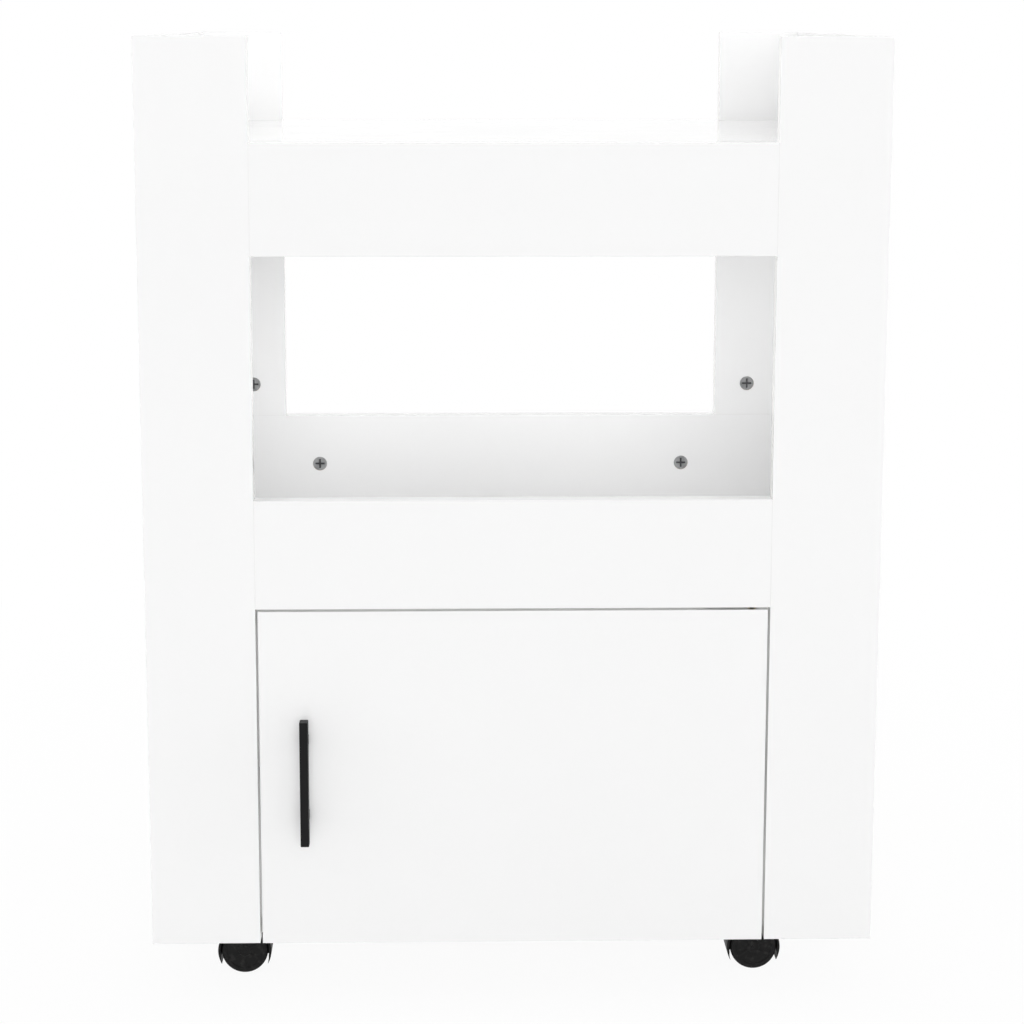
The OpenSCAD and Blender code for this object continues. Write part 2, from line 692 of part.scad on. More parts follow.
// Hood over both wheels, web between them and swivel head above, in one moulding.
// The hood thins out to a point on each side, below the height of the axle.
module caster_housing(c) color(black_c) at_caster(c) difference() {
    union() {
        wheel_disc(hood_r, -caster_half, caster_half);
        translate([0, 0, wheel_r]) cylinder(d = swivel_d, h = swivel_top - wheel_r);
    }
    for (y = [[web_t / 2, caster_half + past], [-caster_half - past, -web_t / 2]]) {
        wheel_disc(hood_r - hood_wall, y[0], y[1]);
        translate([0, 0, -hood_drop]) wheel_disc(hood_cut_r, y[0], y[1]);
    }
    block([-caster_trail - hood_r, -web_t / 2, wheel_r - hood_r - past],
        [hood_r, web_t / 2, web_z]);
    translate([0, 0, kingpin_z - past])
        cylinder(d = kingpin_d + 2 * run_fit, h = swivel_top - kingpin_z + 2 * past);
    wheel_disc(axle_d / 2 + seat_fit, -web_t, web_t);
}

module caster_axle(c) color(steel_c) at_caster(c) wheel_disc(axle_d / 2, -axle_l / 2, axle_l / 2);

// One wheel, on the side s of the web: a tread with eased edges and a dished outer face
module caster_wheel(c, s) color(black_c) at_caster(c)
    translate([-caster_trail, s * (web_t / 2 + wheel_side_play), wheel_r])
        rotate([-s * 90, 0, 0]) difference() {
            rotate_extrude($fn = wheel_fn) polygon([[0, 0], [wheel_r - tread_ease, 0],
                [wheel_r, tread_ease], [wheel_r, wheel_w - 2 * tread_ease],
                [wheel_r - tread_ease, wheel_w - tread_ease / 2],
                [wheel_r - rim_w, wheel_w], [wheel_r - rim_w - dish, wheel_w - dish],
                [hub_r + dish, wheel_w - dish], [hub_r, wheel_w], [0, wheel_w]]);
            translate([0, 0, -past])
                cylinder(d = axle_d + 2 * run_fit, h = axle_in_wheel + axle_end_play + past);
        }

module rounded_square(side, r) {
    for (a = [0, 90]) rotate([0, 0, a]) square([side, side - 2 * r], center = true);
    for (x = [-1, 1], y = [-1, 1]) translate([x, y] * (side / 2 - r)) circle(r);
}

// Mounting plate with the kingpin riveted into it
module caster_plate(c) color(steel_c) difference() {
    at_caster(c) {
        translate([0, 0, caster_h - plate_t]) linear_extrude(plate_t)
            rounded_square(plate_side, plate_corner_r);
        translate([0, 0, kingpin_z]) cylinder(d = kingpin_d, h = kingpin_l + plate_t / 2);
    }
    caster_screw_places(c) translate([0, 0, -plate_t - past])
        cylinder(d = screw_d + 2 * screw_hole_play, h = plate_t + 2 * past);
}

module caster_screw_places(c) at_caster(c) for (x = [-1, 1], y = [-1, 1])
    translate([x * plate_pitch / 2, y * plate_pitch / 2, base_z]) children();

module caster_screws() color(steel_c) for (c = CORNERS)
    caster_screw_places(c) translate([0, 0, -plate_t]) screw(screw_l + plate_t);

// ---- Output ----

SIDES = [["left", -1], ["right", 1]];
for (s = SIDES) {
    side_panel(s[1]);
    front_post(s[1]);
    rear_post(s[1]);
}
front_upper_rail();
front_lower_rail();
rear_upper_rail();
rear_lower_rail();
top_board();
middle_shelf();
bottom_board();
back_panel();
cam_nuts(BACK_CAMS);  // back_cam_nuts
cam_nuts(RAIL_CAMS);  // rail_cam_nuts
cam_nuts(SIDE_CAMS);  // side_cam_nuts
cam_nuts(SHELF_CAMS);  // shelf_cam_nuts
cam_bolts(BACK_CAMS);  // back_cam_bolts
cam_bolts(RAIL_CAMS);  // rail_cam_bolts
cam_bolts(SIDE_CAMS);  // side_cam_bolts
cam_bolts(SHELF_CAMS);  // shelf_cam_bolts
wooden_dowels();
door();
door_handle();
handle_screws();
pivot_plate();
pivot_bracket();
upper_bush();
lower_bush();
pivot_screws();
magnet_catch();
catch_screws();
strike_plate();
strike_screws();
door_bumpers();
caster_screws();
for (c = CORNERS) {
    caster_plate(c);
    caster_housing(c);
    caster_axle(c);
    caster_wheel(c, -1);
    caster_wheel(c, 1);
}
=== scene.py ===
"""Looks of the microwave cart: gloss white boards, cam joints, door hardware, twin-wheel casters.

Lengths are in metres, +Z is up and the cart's front faces -Y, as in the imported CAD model. Every new
piece is built in its final place, from the boxes of the CAD nodes that it stands for.
"""

import math
from collections import namedtuple

import bmesh
import bpy
import numpy as np
from mathutils import Euler, Matrix, Vector


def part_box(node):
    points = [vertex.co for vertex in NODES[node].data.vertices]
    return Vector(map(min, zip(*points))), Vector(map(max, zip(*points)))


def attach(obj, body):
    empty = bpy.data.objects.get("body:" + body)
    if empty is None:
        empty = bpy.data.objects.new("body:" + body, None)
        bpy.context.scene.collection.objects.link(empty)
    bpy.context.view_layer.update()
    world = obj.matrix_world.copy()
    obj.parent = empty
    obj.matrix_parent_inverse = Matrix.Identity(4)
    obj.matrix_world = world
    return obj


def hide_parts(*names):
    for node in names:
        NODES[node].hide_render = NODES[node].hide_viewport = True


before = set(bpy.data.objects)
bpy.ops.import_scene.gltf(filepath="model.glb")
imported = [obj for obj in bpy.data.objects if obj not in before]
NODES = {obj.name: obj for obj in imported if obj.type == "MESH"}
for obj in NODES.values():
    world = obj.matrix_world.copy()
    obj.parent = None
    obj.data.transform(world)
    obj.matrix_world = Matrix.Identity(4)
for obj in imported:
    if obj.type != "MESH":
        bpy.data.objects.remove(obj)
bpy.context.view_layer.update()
MM = 0.001
FULL_TURN, QUARTER_TURN = 2 * math.pi, math.pi / 2
X, Y, Z = np.eye(3)
CORNERS = ("front_left", "front_right", "rear_left", "rear_right")


# ---------------------------------------------------------------- finishes


class Val:
    """A socket that Python's operators work on. Each operator adds one Math node."""

    def __init__(self, finish, socket):
        self.finish, self.socket = finish, socket

    def __add__(self, other):
        return self.finish.math("ADD", self, other)

    def __mul__(self, other):
        return self.finish.math("MULTIPLY", self, other)

    def __sub__(self, other):
        return self.finish.math("SUBTRACT", self, other)

    def __rsub__(self, other):
        return self.finish.math("SUBTRACT", other, self)

    __radd__, __rmul__ = __add__, __mul__


class Finish:
    """The nodes of one material or world. add() makes a node from its type, settings and inputs."""

    def __init__(self, owner):
        self.owner = owner
        owner.use_nodes = True
        self.tree = owner.node_tree
        self.tree.nodes.clear()
        self.place = self.add("TexCoord", out="Object")

    def add(self, kind, settings=None, inputs=None, out=0):
        node = self.tree.nodes.new("ShaderNode" + kind)
        for key, value in (settings or {}).items():
            setattr(node, key, value)
        for key, value in (inputs or {}).items():
            if isinstance(value, Val):
                self.tree.links.new(value.socket, node.inputs[key])
            elif node.inputs[key].type == "RGBA":
                node.inputs[key].default_value = (*value, 1)
            else:
                node.inputs[key].default_value = value
        return Val(self, node.outputs[out]) if node.outputs else node

    def math(self, operation, *values):
        return self.add("Math", {"operation": operation}, dict(enumerate(values)))

    def noise(self, scale, detail=2.0, stretch=(1, 1, 1)):
        """Noise about 0.5, with scale features per metre. A stretch under 1 draws it out."""
        where = self.add("VectorMath", {"operation": "MULTIPLY"}, {0: self.place, 1: stretch})
        inputs = {"Vector": where, "Scale": scale, "Detail": detail}
        return self.add("TexNoise", None, inputs, "Fac")

    def ease(self, value, low, high, to_low=0.0, to_high=1.0):
        """value taken smoothly from to_low, where it is low, to to_high, where it is high."""
        ends = {"From Min": low, "From Max": high, "To Min": to_low, "To Max": to_high}
        return self.add("MapRange", {"interpolation_type": "SMOOTHSTEP"}, {"Value": value, **ends})

    def mix(self, share, first, second):
        """The first colour where share is 0, and the second where it is 1."""
        return self.add("Mix", {"data_type": "RGBA"}, {0: share, 6: first, 7: second}, 2)

    def relief(self, height, depth):
        """A normal for a surface that height, from 0 to 1, lifts by up to depth metres."""
        return self.add("Bump", None, {"Height": height, "Distance": depth}, "Normal")

    def surface(self, **sockets):
        """Ends the material in one Principled shader. Its sockets are named with _ for a space."""
        inputs = {key.replace("_", " "): value for key, value in sockets.items()}
        self.output(self.add("BsdfPrincipled", None, inputs, "BSDF"))
        return self.owner

    def output(self, shader, kind="OutputMaterial"):
        self.add(kind, None, {"Surface": shader})


def gloss_white():
    """High-gloss white foil over chipboard: a faint long wave and a finer orange peel in the film,
    wiped-on streaks in the roughness, and edge bands a touch warmer than the faces they frame."""
    f = Finish(bpy.data.materials.new("gloss_white"))
    foil, clouded_foil = (0.958, 0.958, 0.958), (0.9515, 0.9515, 0.9515)
    fleck, edge_band = (0.90, 0.90, 0.895), (0.945, 0.944, 0.938)
    cloud = f.noise(3.1, 3.0)
    streak = f.noise(9.0, 4.0, (1.0, 1.0, 0.22))
    speck = f.noise(900.0, 1.0)
    band = f.add("Attribute", {"attribute_name": "band"}, None, "Fac")
    face = f.mix(f.ease(cloud, 0.35, 0.65), foil, clouded_foil)
    face = f.mix(f.ease(speck, 0.70, 0.80) * 0.35, face, fleck)
    colour = f.mix(band * 0.6, face, edge_band)
    rough = f.ease(streak, 0.3, 0.7, 0.055, 0.115) + band * 0.05
    wave = f.noise(42.0, 1.0) * 0.75 + f.noise(520.0, 2.0) * 0.25
    return f.surface(Base_Color=colour, Roughness=rough, Normal=f.relief(wave, 9e-6), IOR=1.5,
                     Coat_Weight=0.35, Coat_Roughness=0.03)


def raw_chipboard():
    """Cut chipboard: pressed flakes as cells of tan and brown, with pits between them."""
    f = Finish(bpy.data.materials.new("raw_chipboard"))
    brown, tan, pit = (0.42, 0.29, 0.16), (0.66, 0.52, 0.34), (0.24, 0.16, 0.09)
    flakes = f.add("TexVoronoi", None, {"Vector": f.place, "Scale": 620.0}, "Color")
    tone = f.add("SeparateColor", None, {0: flakes})
    grain = f.noise(1500.0, 3.0)
    colour = f.mix(f.ease(grain, 0.55, 0.75) * 0.6, f.mix(tone, brown, tan), pit)
    return f.surface(Base_Color=colour, Roughness=0.9, Normal=f.relief(grain + tone, 1.5e-4))


def handle_black():
    """Powder-coated bar: near black, a fine even grain, slightly polished where fingers hold it."""
    f = Finish(bpy.data.materials.new("handle_black"))
    height = f.add("SeparateXYZ", None, {0: f.place}, "Z")
    foot, grip_foot, grip_top, top = 0.155, 0.180, 0.220, 0.245
    grip = f.ease(height, foot, grip_foot) * f.ease(height, top, grip_top)
    grain = f.noise(2600.0, 2.0)
    cloud = f.noise(60.0, 3.0)
    colour = f.mix(cloud, (0.0075, 0.0075, 0.008), (0.0110, 0.0110, 0.0115))
    rough = f.ease(cloud, 0.3, 0.7, 0.40, 0.50) - grip * 0.07
    return f.surface(Base_Color=colour, Roughness=rough, Normal=f.relief(grain, 2.2e-5), IOR=1.48,
                     Specular_IOR_Level=0.13)


def caster_nylon(name, tone, rough, wear):
    """Moulded nylon: a fine spark-eroded grain, flow clouds, and dust that greys it in patches."""
    f = Finish(bpy.data.materials.new(name))
    dust_grey = (0.085, 0.082, 0.078)
    grain = f.noise(1900.0, 3.0)
    cloud = f.noise(90.0, 3.0)
    dust = f.ease(f.noise(260.0, 4.0), 0.48, 0.72) * wear
    colour = f.mix(cloud, (tone * 0.8,) * 3, (tone * 1.2,) * 3)
    return f.surface(Base_Color=f.mix(dust, colour, dust_grey),
                     Roughness=f.ease(cloud, 0.3, 0.7, rough, rough + 0.12) + dust * 0.3,
                     Normal=f.relief(grain, 3e-5), IOR=1.5, Specular_IOR_Level=0.14)


def metal(name, colour, dark, rough, grain_scale, stretch=(1, 1, 1)):
    """Bare or plated metal: cloudy plating, a grain that may be drawn out, and dull spots."""
    f = Finish(bpy.data.materials.new(name))
    cloud = f.noise(180.0, 4.0)
    grain = f.noise(grain_scale, 3.0, stretch)
    shade = f.mix(f.ease(cloud, 0.35, 0.7), colour, dark)
    shade = f.mix(f.ease(grain, 0.5, 0.75) * 0.35, shade, dark)
    return f.surface(Base_Color=shade, Metallic=1.0, Normal=f.relief(grain, 1.2e-5),
                     Roughness=f.ease(cloud, 0.3, 0.7, rough, rough + 0.14))


def beech():
    """Beech dowels: a fine grain drawn out along each dowel, and short dark rays."""
    f = Finish(bpy.data.materials.new("beech"))
    pale, brown, ray = (0.62, 0.43, 0.25), (0.50, 0.32, 0.17), (0.36, 0.20, 0.10)
    grain = f.noise(1400.0, 4.0, (0.15, 1.0, 1.0))
    rays = f.noise(2600.0, 1.0, (0.5, 1.0, 1.0))
    colour = f.mix(f.ease(grain, 0.35, 0.65), pale, brown)
    colour = f.mix(f.ease(rays, 0.66, 0.74), colour, ray)
    return f.surface(Base_Color=colour, Roughness=0.62, Normal=f.relief(grain, 6e-5))


def catch_plastic():
    """White polystyrene of the magnet catch, slightly yellowed and dull."""
    f = Finish(bpy.data.materials.new("catch_plastic"))
    cloud = f.noise(70.0, 3.0)
    colour = f.mix(cloud, (0.80, 0.80, 0.78), (0.74, 0.74, 0.71))
    return f.surface(Base_Color=colour, Roughness=f.ease(cloud, 0.3, 0.7, 0.32, 0.45), IOR=1.55,
                     Normal=f.relief(f.noise(1700.0, 2.0), 1.5e-5))


def bumper_rubber():
    """Milky clear rubber of the door bumpers, with dust caught on it."""
    f = Finish(bpy.data.materials.new("bumper_rubber"))
    dust = f.ease(f.noise(800.0, 3.0), 0.5, 0.75)
    colour = f.mix(dust, (0.70, 0.72, 0.72), (0.52, 0.52, 0.50))
    return f.surface(Base_Color=colour, Roughness=f.ease(dust, 0.0, 1.0, 0.28, 0.55), IOR=1.42,
                     Normal=f.relief(dust, 2e-5), Subsurface_Weight=0.3)


WHITE = gloss_white()
CHIPBOARD = raw_chipboard()
HANDLE = handle_black()
HOOD = caster_nylon("caster_black", 0.0095, 0.36, 0.10)
TYRE = caster_nylon("wheel_black", 0.0090, 0.42, 0.18)
ZINC = metal("cam_zinc", (0.52, 0.525, 0.53), (0.38, 0.385, 0.39), 0.30, 900.0)
# painted shade: a darker zinc for the floor and wall of each cam nut's cross recess, standing in for
# the shade that falls there
RECESS_PAINTED_SHADE = metal("recess_painted_shade_zinc", (0.18, 0.18, 0.185), (0.12, 0.12, 0.125), 0.45, 900.0)
STEEL = metal("steel", (0.60, 0.61, 0.62), (0.47, 0.475, 0.48), 0.24, 1600.0, (1.0, 1.0, 0.2))
MAGNET = metal("magnet_black", (0.12, 0.12, 0.125), (0.08, 0.08, 0.085), 0.5, 2200.0)
BRASS = metal("bush_brass", (0.62, 0.47, 0.22), (0.48, 0.35, 0.15), 0.30, 1300.0)
BEECH = beech()
PLASTIC = catch_plastic()
RUBBER = bumper_rubber()


# ---------------------------------------------------------------- meshes

# points that are nearer to each other than this become one, in new pieces and in CAD nodes
WELD, CAD_WELD = 2e-7, 1e-6


class Shell:
    """A closed surface made of patches. A face is a row of four corners: a triangle repeats one."""

    def __init__(self):
        self.points, self.normals, self.faces, self.marks, self.count = [], [], [], [], 0

    def add(self, points, faces, normals=None, mark=0):
        """A patch of points and faces. mark is the number of each face's material."""
        self.points.append(points.reshape(-1, 3))
        self.normals.append(np.zeros((len(self.points[-1]), 3)) if normals is None
                            else np.broadcast_to(normals, points.shape).reshape(-1, 3))
        self.faces.append(faces.reshape(-1, 4) + self.count)
        self.marks.append(np.broadcast_to(mark, len(self.faces[-1])))
        self.count += len(self.points[-1])

    def grid(self, points, normals=None, keep=None, flip=False, mark=0):
        """A patch of rows by columns of points. keep leaves out the cells where it is False."""
        i = np.arange(points[..., 0].size).reshape(points.shape[:2])
        quads = np.stack([i[:-1, :-1], i[1:, :-1], i[1:, 1:], i[:-1, 1:]], -1)
        quads = quads.reshape(-1, 4) if keep is None else quads[keep]
        self.add(points, quads[:, ::-1] if flip else quads, normals, mark)

    def skin(self, outlines, second=0):
        """Closed skin over outlines, an array of outlines by points by 3. Each outline is a loop,
        and each end is shut by a fan to its mean point. The skin's volume, the sum of p . (du x dv)
        over its cells, says which way round the faces point outwards. The first rows of cells, as
        many as second says, get the second material."""
        first, last = (np.broadcast_to(end.mean(1, keepdims=True), end.shape)
                       for end in (outlines[:1], outlines[-1:]))
        points = np.concatenate([first, outlines, last])
        points = np.concatenate([points, points[:, :1]], 1)
        a, b, c, d = points[:-1, :-1], points[1:, :-1], points[1:, 1:], points[:-1, 1:]
        volume = ((a + b + c + d) * np.cross(c - a, d - b)).sum()
        rows = np.arange(len(points) - 1) < second
        self.grid(points, flip=volume < 0, mark=np.repeat(rows, len(points[0]) - 1))

    def lathe(self, profile, to_place, count):
        """A turned shape: each (radius, height) of the profile becomes a circle about local z."""
        radii, heights = np.array(profile, float).T
        self.skin(to_place(polar(even_angles(count), radii, heights)))

    def mesh(self, name, materials, sharp):
        """Welds the patches into one mesh. Corners keep the patches' own normals where they gave
        them, and otherwise edges that turn by more than sharp degrees stay crisp."""
        points, normals = np.concatenate(self.points), np.concatenate(self.normals)
        faces, marks = np.concatenate(self.faces), np.concatenate(self.marks)
        _, first, weld = np.unique(np.round(points / WELD), axis=0, return_index=True,
                                   return_inverse=True)
        welded = weld.reshape(-1)[faces]
        corner = welded != np.roll(welded, -1, axis=1)
        solid = corner.sum(1) > 2
        faces, welded, corner, marks = faces[solid], welded[solid], corner[solid], marks[solid]
        sizes = corner.sum(1)
        starts = np.cumsum(sizes) - sizes
        mesh = bpy.data.meshes.new(name)
        mesh.vertices.add(len(first))
        mesh.vertices.foreach_set("co", points[first].ravel())
        mesh.loops.add(int(sizes.sum()))
        mesh.loops.foreach_set("vertex_index", welded[corner].astype(np.int32))
        mesh.polygons.add(len(sizes))
        mesh.polygons.foreach_set("loop_start", starts.astype(np.int32))
        material_numbers = np.minimum(marks, len(materials) - 1)
        mesh.polygons.foreach_set("material_index", material_numbers.astype(np.int32))
        mesh.update(calc_edges=True)
        mesh.shade_smooth()
        corner_normals = normals[faces[corner]]
        if (np.linalg.norm(corner_normals, axis=1) > 0.5).all():
            mesh.normals_split_custom_set(corner_normals.tolist())
        else:
            mesh.set_sharp_from_angle(angle=math.radians(sharp))
        for material in materials:
            mesh.materials.append(material)
        return mesh

    def piece(self, name, materials, body, slot, *replaced, sharp=38.0):
        return place(self.mesh(name, materials, sharp), body, slot, *replaced)


def place(mesh, body, slot, *replaced):
    """Puts a finished mesh into the scene, on the body that carries it."""
    thing = bpy.data.objects.new(mesh.name, mesh)
    bpy.context.scene.collection.objects.link(thing)
    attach(thing, body)
    if replaced:
        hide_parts(*replaced)
    return thing


def basis(origin, up, side):
    """Turns local points into the cart's frame: local z runs along up and local x along side."""
    up, side = np.array(up, float), np.array(side, float)
    return lambda p: np.array(origin) + p @ np.stack([side, np.cross(up, side), up])


def even_angles(count):
    return np.arange(count) * FULL_TURN / count


def polar(angles, radii, heights):
    """Points of rings about local z. Radii and heights are arrays of rings by angles, or have one
    number a ring."""
    rings, shape = len(heights), (len(heights), len(angles))
    radii = np.broadcast_to(np.array(radii, float).reshape(rings, -1), shape)
    heights = np.broadcast_to(np.array(heights, float).reshape(rings, -1), shape)
    return np.stack([radii * np.cos(angles), radii * np.sin(angles), heights], -1)


def node_box(node):
    """Lowest and highest corners of a CAD node."""
    return tuple(np.array(corner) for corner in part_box(node))


def solids(node):
    """Lowest and highest corners of a CAD node's separate solids. The lowest label of each face
    spreads over its corners until nothing changes, so every solid ends with one label."""
    mesh = NODES[node].data
    points = np.empty(len(mesh.vertices) * 3)
    mesh.vertices.foreach_get("co", points)
    points = points.reshape(-1, 3)
    corners = np.empty(len(mesh.loops), np.int64)
    mesh.loops.foreach_get("vertex_index", corners)
    weld = np.unique(np.round(points / CAD_WELD), axis=0, return_inverse=True)[1].reshape(-1)
    faces = weld[corners.reshape(-1, 3)]
    label, last = np.arange(weld.max() + 1), None
    while last is None or (label != last).any():
        last = label.copy()
        np.minimum.at(label, faces.ravel(), np.repeat(label[faces].min(1), 3))
    label = label[weld]
    return [(points[label == k].min(0), points[label == k].max(0)) for k in np.unique(label)]


# ---------------------------------------------------------------- blocks with rounded edges


def ease_lines(low, high, ease):
    """Where a block's grid lines cut each axis: at its ends, where the rounding of its edges begins
    and half way round it. Half way is ease tan(22.5 degrees) from where the rounding begins."""
    half = ease * math.tan(math.pi / 8)
    return [np.array([a, a + ease - half, a + ease, b - ease, b - ease + half, b])
            for a, b in zip(low, high)]


def eased_sides(low, high, ease, lines):
    """The six sides of a block with rounded edges. On each side of the box a grid point p goes to
    q + ease (p - q) / |p - q|, where q is p held inside the box shrunk by the ease. The normal is
    (p - q) / |p - q|. Gives each side's axis, outward sign, points p, eased points and normals."""
    for k in range(3):
        u, v = (k + 1) % 3, (k + 2) % 3
        for outward in (-1, 1):
            p = np.empty((len(lines[u]), len(lines[v]), 3))
            p[..., u], p[..., v] = np.meshgrid(lines[u], lines[v], indexing="ij")
            p[..., k] = high[k] if outward > 0 else low[k]
            q = np.clip(p, low + ease, high - ease)
            normal = (p - q) / np.linalg.norm(p - q, axis=-1, keepdims=True)
            yield k, outward, p, q + ease * normal, normal


def slab(shell, low, high, ease):
    """A small block with rounded edges."""
    low, high = np.round(low, 7), np.round(high, 7)
    for _, outward, _, eased, normal in eased_sides(low, high, ease, ease_lines(low, high, ease)):
        shell.grid(eased, normal, flip=outward < 0)


# ---------------------------------------------------------------- boards

EASE = 0.35 * MM
POCKET_GAP = 0.1 * MM  # between a nut and the wall of its pocket
POCKET_ROOM = 1.5  # half the width of the cell round a pocket, in radii
NUT_GROUPS = ("back", "rail", "side", "shelf")
CUT_BOARDS = ("front_lower_rail", "bottom_board", "middle_shelf")
BOXES = {node: tuple(np.round(corner, 7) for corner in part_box(node)) for node in NODES
         if node.endswith(("_board", "_panel", "_rail", "_shelf"))
         or "_panel_" in node or "_post_" in node}

Pocket = namedtuple("Pocket", "centre axis radius depth")
Nut = namedtuple("Nut", "floor axis to_bolt radius height")


def mark_band(thing, thin):
    """Marks the edge bands: 1 on the faces round a board's rim, and 0 on its two broad faces, which
    look along the axis thin."""
    mesh = thing.data
    normals = np.empty(len(mesh.polygons) * 3)
    mesh.polygons.foreach_get("normal", normals)
    band = (np.abs(normals.reshape(-1, 3)[:, thin]) < 0.7).astype(np.float32)
    mesh.attributes.new("band", "FLOAT", "FACE").data.foreach_set("value", band)


def board(node, pockets):
    """A board with eased edges and blind round pockets. A pocket takes one cell of the grid on its
    side: triangles from the cell's corners meet a circle, and a wall and a floor close it."""
    low, high = BOXES[node]
    shell, room = Shell(), POCKET_ROOM * (pockets[0].radius if pockets else 0)
    lines = ease_lines(low, high, EASE)
    for k in range(3):
        cuts = [pocket.centre[k] + side * room for pocket in pockets
                if k != np.abs(pocket.axis).argmax() for side in (-1, 1)]
        lines[k] = np.unique(np.round(np.concatenate([lines[k], cuts]), 9))
    for k, outward, flat, eased, normal in eased_sides(low, high, EASE, lines):
        u, v = (k + 1) % 3, (k + 2) % 3
        middle = (flat[:-1, :-1] + flat[1:, 1:]) / 2
        keep = np.ones(middle.shape[:2], bool)
        for pocket in pockets:
            if pocket.axis[k] * outward > 0.5:
                keep &= (np.abs(middle - pocket.centre)[..., [u, v]] > room).any(-1)
                sink(shell, pocket, room, np.eye(3)[u], np.eye(3)[v])
        shell.grid(eased, normal, keep, flip=outward < 0)
    thing = shell.piece("gloss_" + node, [WHITE, CHIPBOARD], "cart", "gloss_board", node)
    mark_band(thing, int((high - low).argmin()))


def sink(shell, pocket, room, u, v, count=40):
    """The face of the cell around a round pocket, the pocket's wall and its floor. The circle is
    centre + radius (cos a u + sin a v), and each of its points meets the nearest cell corner."""
    centre, axis, radius, depth = pocket
    if np.cross(u, v) @ axis < 0:
        u, v = v, u
    angles = even_angles(count)
    circle = centre + radius * (np.outer(np.cos(angles), u) + np.outer(np.sin(angles), v))
    corners = centre + room * (np.outer([1, -1, -1, 1], u) + np.outer([1, 1, -1, -1], v))
    i, quarter = np.arange(count), np.arange(4)
    this, following = count + quarter, count + (quarter + 1) % 4
    fan = np.stack([i, count + i * 4 // count, (i + 1) % count, (i + 1) % count], -1)
    sides = np.stack([(quarter + 1) % 4 * count // 4, this, following, following], -1)
    shell.add(np.concatenate([circle, corners]), np.concatenate([fan, sides]), axis)
    wall = np.stack([circle, circle - depth * axis])
    wall = np.concatenate([wall, wall[:, :1]], 1)
    shell.grid(wall, (centre - wall[0])[None] / radius, flip=True, mark=1)
    floor = np.stack([wall[1], np.broadcast_to(centre - depth * axis, wall[1].shape)])
    shell.grid(floor, axis, flip=True, mark=1)


def eased_copy(node, name, material, body, slot, ease, shortest):
    """A copy of a CAD node whose long outer edges are rounded: triangles are welded and joined into
    flat faces, and every straight edge that stands out by more than 60 degrees is bevelled."""
    solid = bmesh.new()
    solid.from_mesh(NODES[node].data)
    bmesh.ops.remove_doubles(solid, verts=solid.verts, dist=CAD_WELD)
    bmesh.ops.dissolve_limit(solid, angle_limit=math.radians(0.5), verts=solid.verts,
                             edges=solid.edges)
    long_edges = [e for e in solid.edges if e.is_manifold and e.calc_length() > shortest
                  and e.calc_face_angle_signed() > math.radians(60)]
    bmesh.ops.bevel(solid, geom=long_edges, offset=ease, offset_type="OFFSET", segments=2,
                    profile=0.5, affect="EDGES", clamp_overlap=True)
    mesh = bpy.data.meshes.new(name)
    solid.to_mesh(mesh)
    solid.free()
    mesh.shade_smooth()
    mesh.set_sharp_from_angle(angle=math.radians(50))
    mesh.materials.clear()
    mesh.materials.append(material)
    thing = place(mesh, body, slot, node)
    level = thing.modifiers.new("flat_faces", "WEIGHTED_NORMAL")
    level.keep_sharp = True
    return thing


def cut_board(node, body):
    """A board with more cuts than its nuts' pockets, as an eased copy of its CAD solid."""
    low, high = node_box(node)
    thing = eased_copy(node, "gloss_" + node, WHITE, body, "gloss_board", EASE, 5 * MM)
    mark_band(thing, int((high - low).argmin()))


def nut_facing(group, middle):
    """The way that a cam nut's cross faces, by the group that it is in."""
    return {"back": -Y, "rail": Y if middle[1] < 0 else -Y, "shelf": -Z,
            "side": -X if middle[0] > 0 else X}[group]


def find_nuts():
    """The cam nuts of each group and the pockets of each board, from the nuts' solids. A nut stands
    on its pocket's floor, and its bolt comes in over the nearest edge of the nut's board."""
    nuts, pockets = {group: [] for group in NUT_GROUPS}, {node: [] for node in BOXES}
    for group in NUT_GROUPS:
        for low, high in solids(group + "_cam_nuts"):
            middle = (low + high) / 2
            axis = nut_facing(group, middle)
            in_plane = np.abs(axis) < 0.5
            radius, height = (high - low)[in_plane].max() / 2, abs((high - low) @ axis)
            floor = middle - axis * height / 2
            holder = next(node for node, (start, end) in BOXES.items()
                          if (start < middle).all() and (middle < end).all())
            start, end = BOXES[holder]
            face = np.where(axis > 0, end, np.where(axis < 0, start, middle))
            depth = abs((face - floor) @ axis)
            pockets[holder].append(Pocket(face, axis, radius + POCKET_GAP, depth))
            to_edge = np.where(in_plane, np.minimum(middle - start, end - middle), np.inf)
            k = int(to_edge.argmin())
            to_bolt = np.eye(3)[k] * (1 if end[k] - middle[k] < middle[k] - start[k] else -1)
            nuts[group].append(Nut(floor, axis, to_bolt, radius, height))
    return nuts, pockets


NUTS, POCKETS = find_nuts()

for node in BOXES:
    if node in CUT_BOARDS:
        cut_board(node, "cart")
    else:
        board(node, POCKETS[node])
cut_board("door", "door")


# ---------------------------------------------------------------- cam nuts and screws

HEAD_R, HEAD_H, SHANK_R = 3.3 * MM, 1.8 * MM, 1.75 * MM
POINTER_HALF_ANGLE = 0.16  # of the mark on a cam nut's rim, in radians


def cross_outline(angles, reach, half_width):
    """Radius of a plus sign about its middle: the further of two crossed bars along each angle."""
    c, s = (np.maximum(np.abs(wave(angles)), 1e-9) for wave in (np.cos, np.sin))
    return np.maximum(np.minimum(reach / c, half_width / s), np.minimum(half_width / c, reach / s))


def cross_angles(reach, half_width, count):
    """Even angles, with those of the plus sign's corners among them."""
    tip = math.atan2(half_width, reach)
    corners = [quarter * QUARTER_TURN + angle for quarter in range(4)
               for angle in (tip, QUARTER_TURN / 2, QUARTER_TURN - tip)]
    return np.unique(np.round(np.concatenate([even_angles(count), corners]), 6))


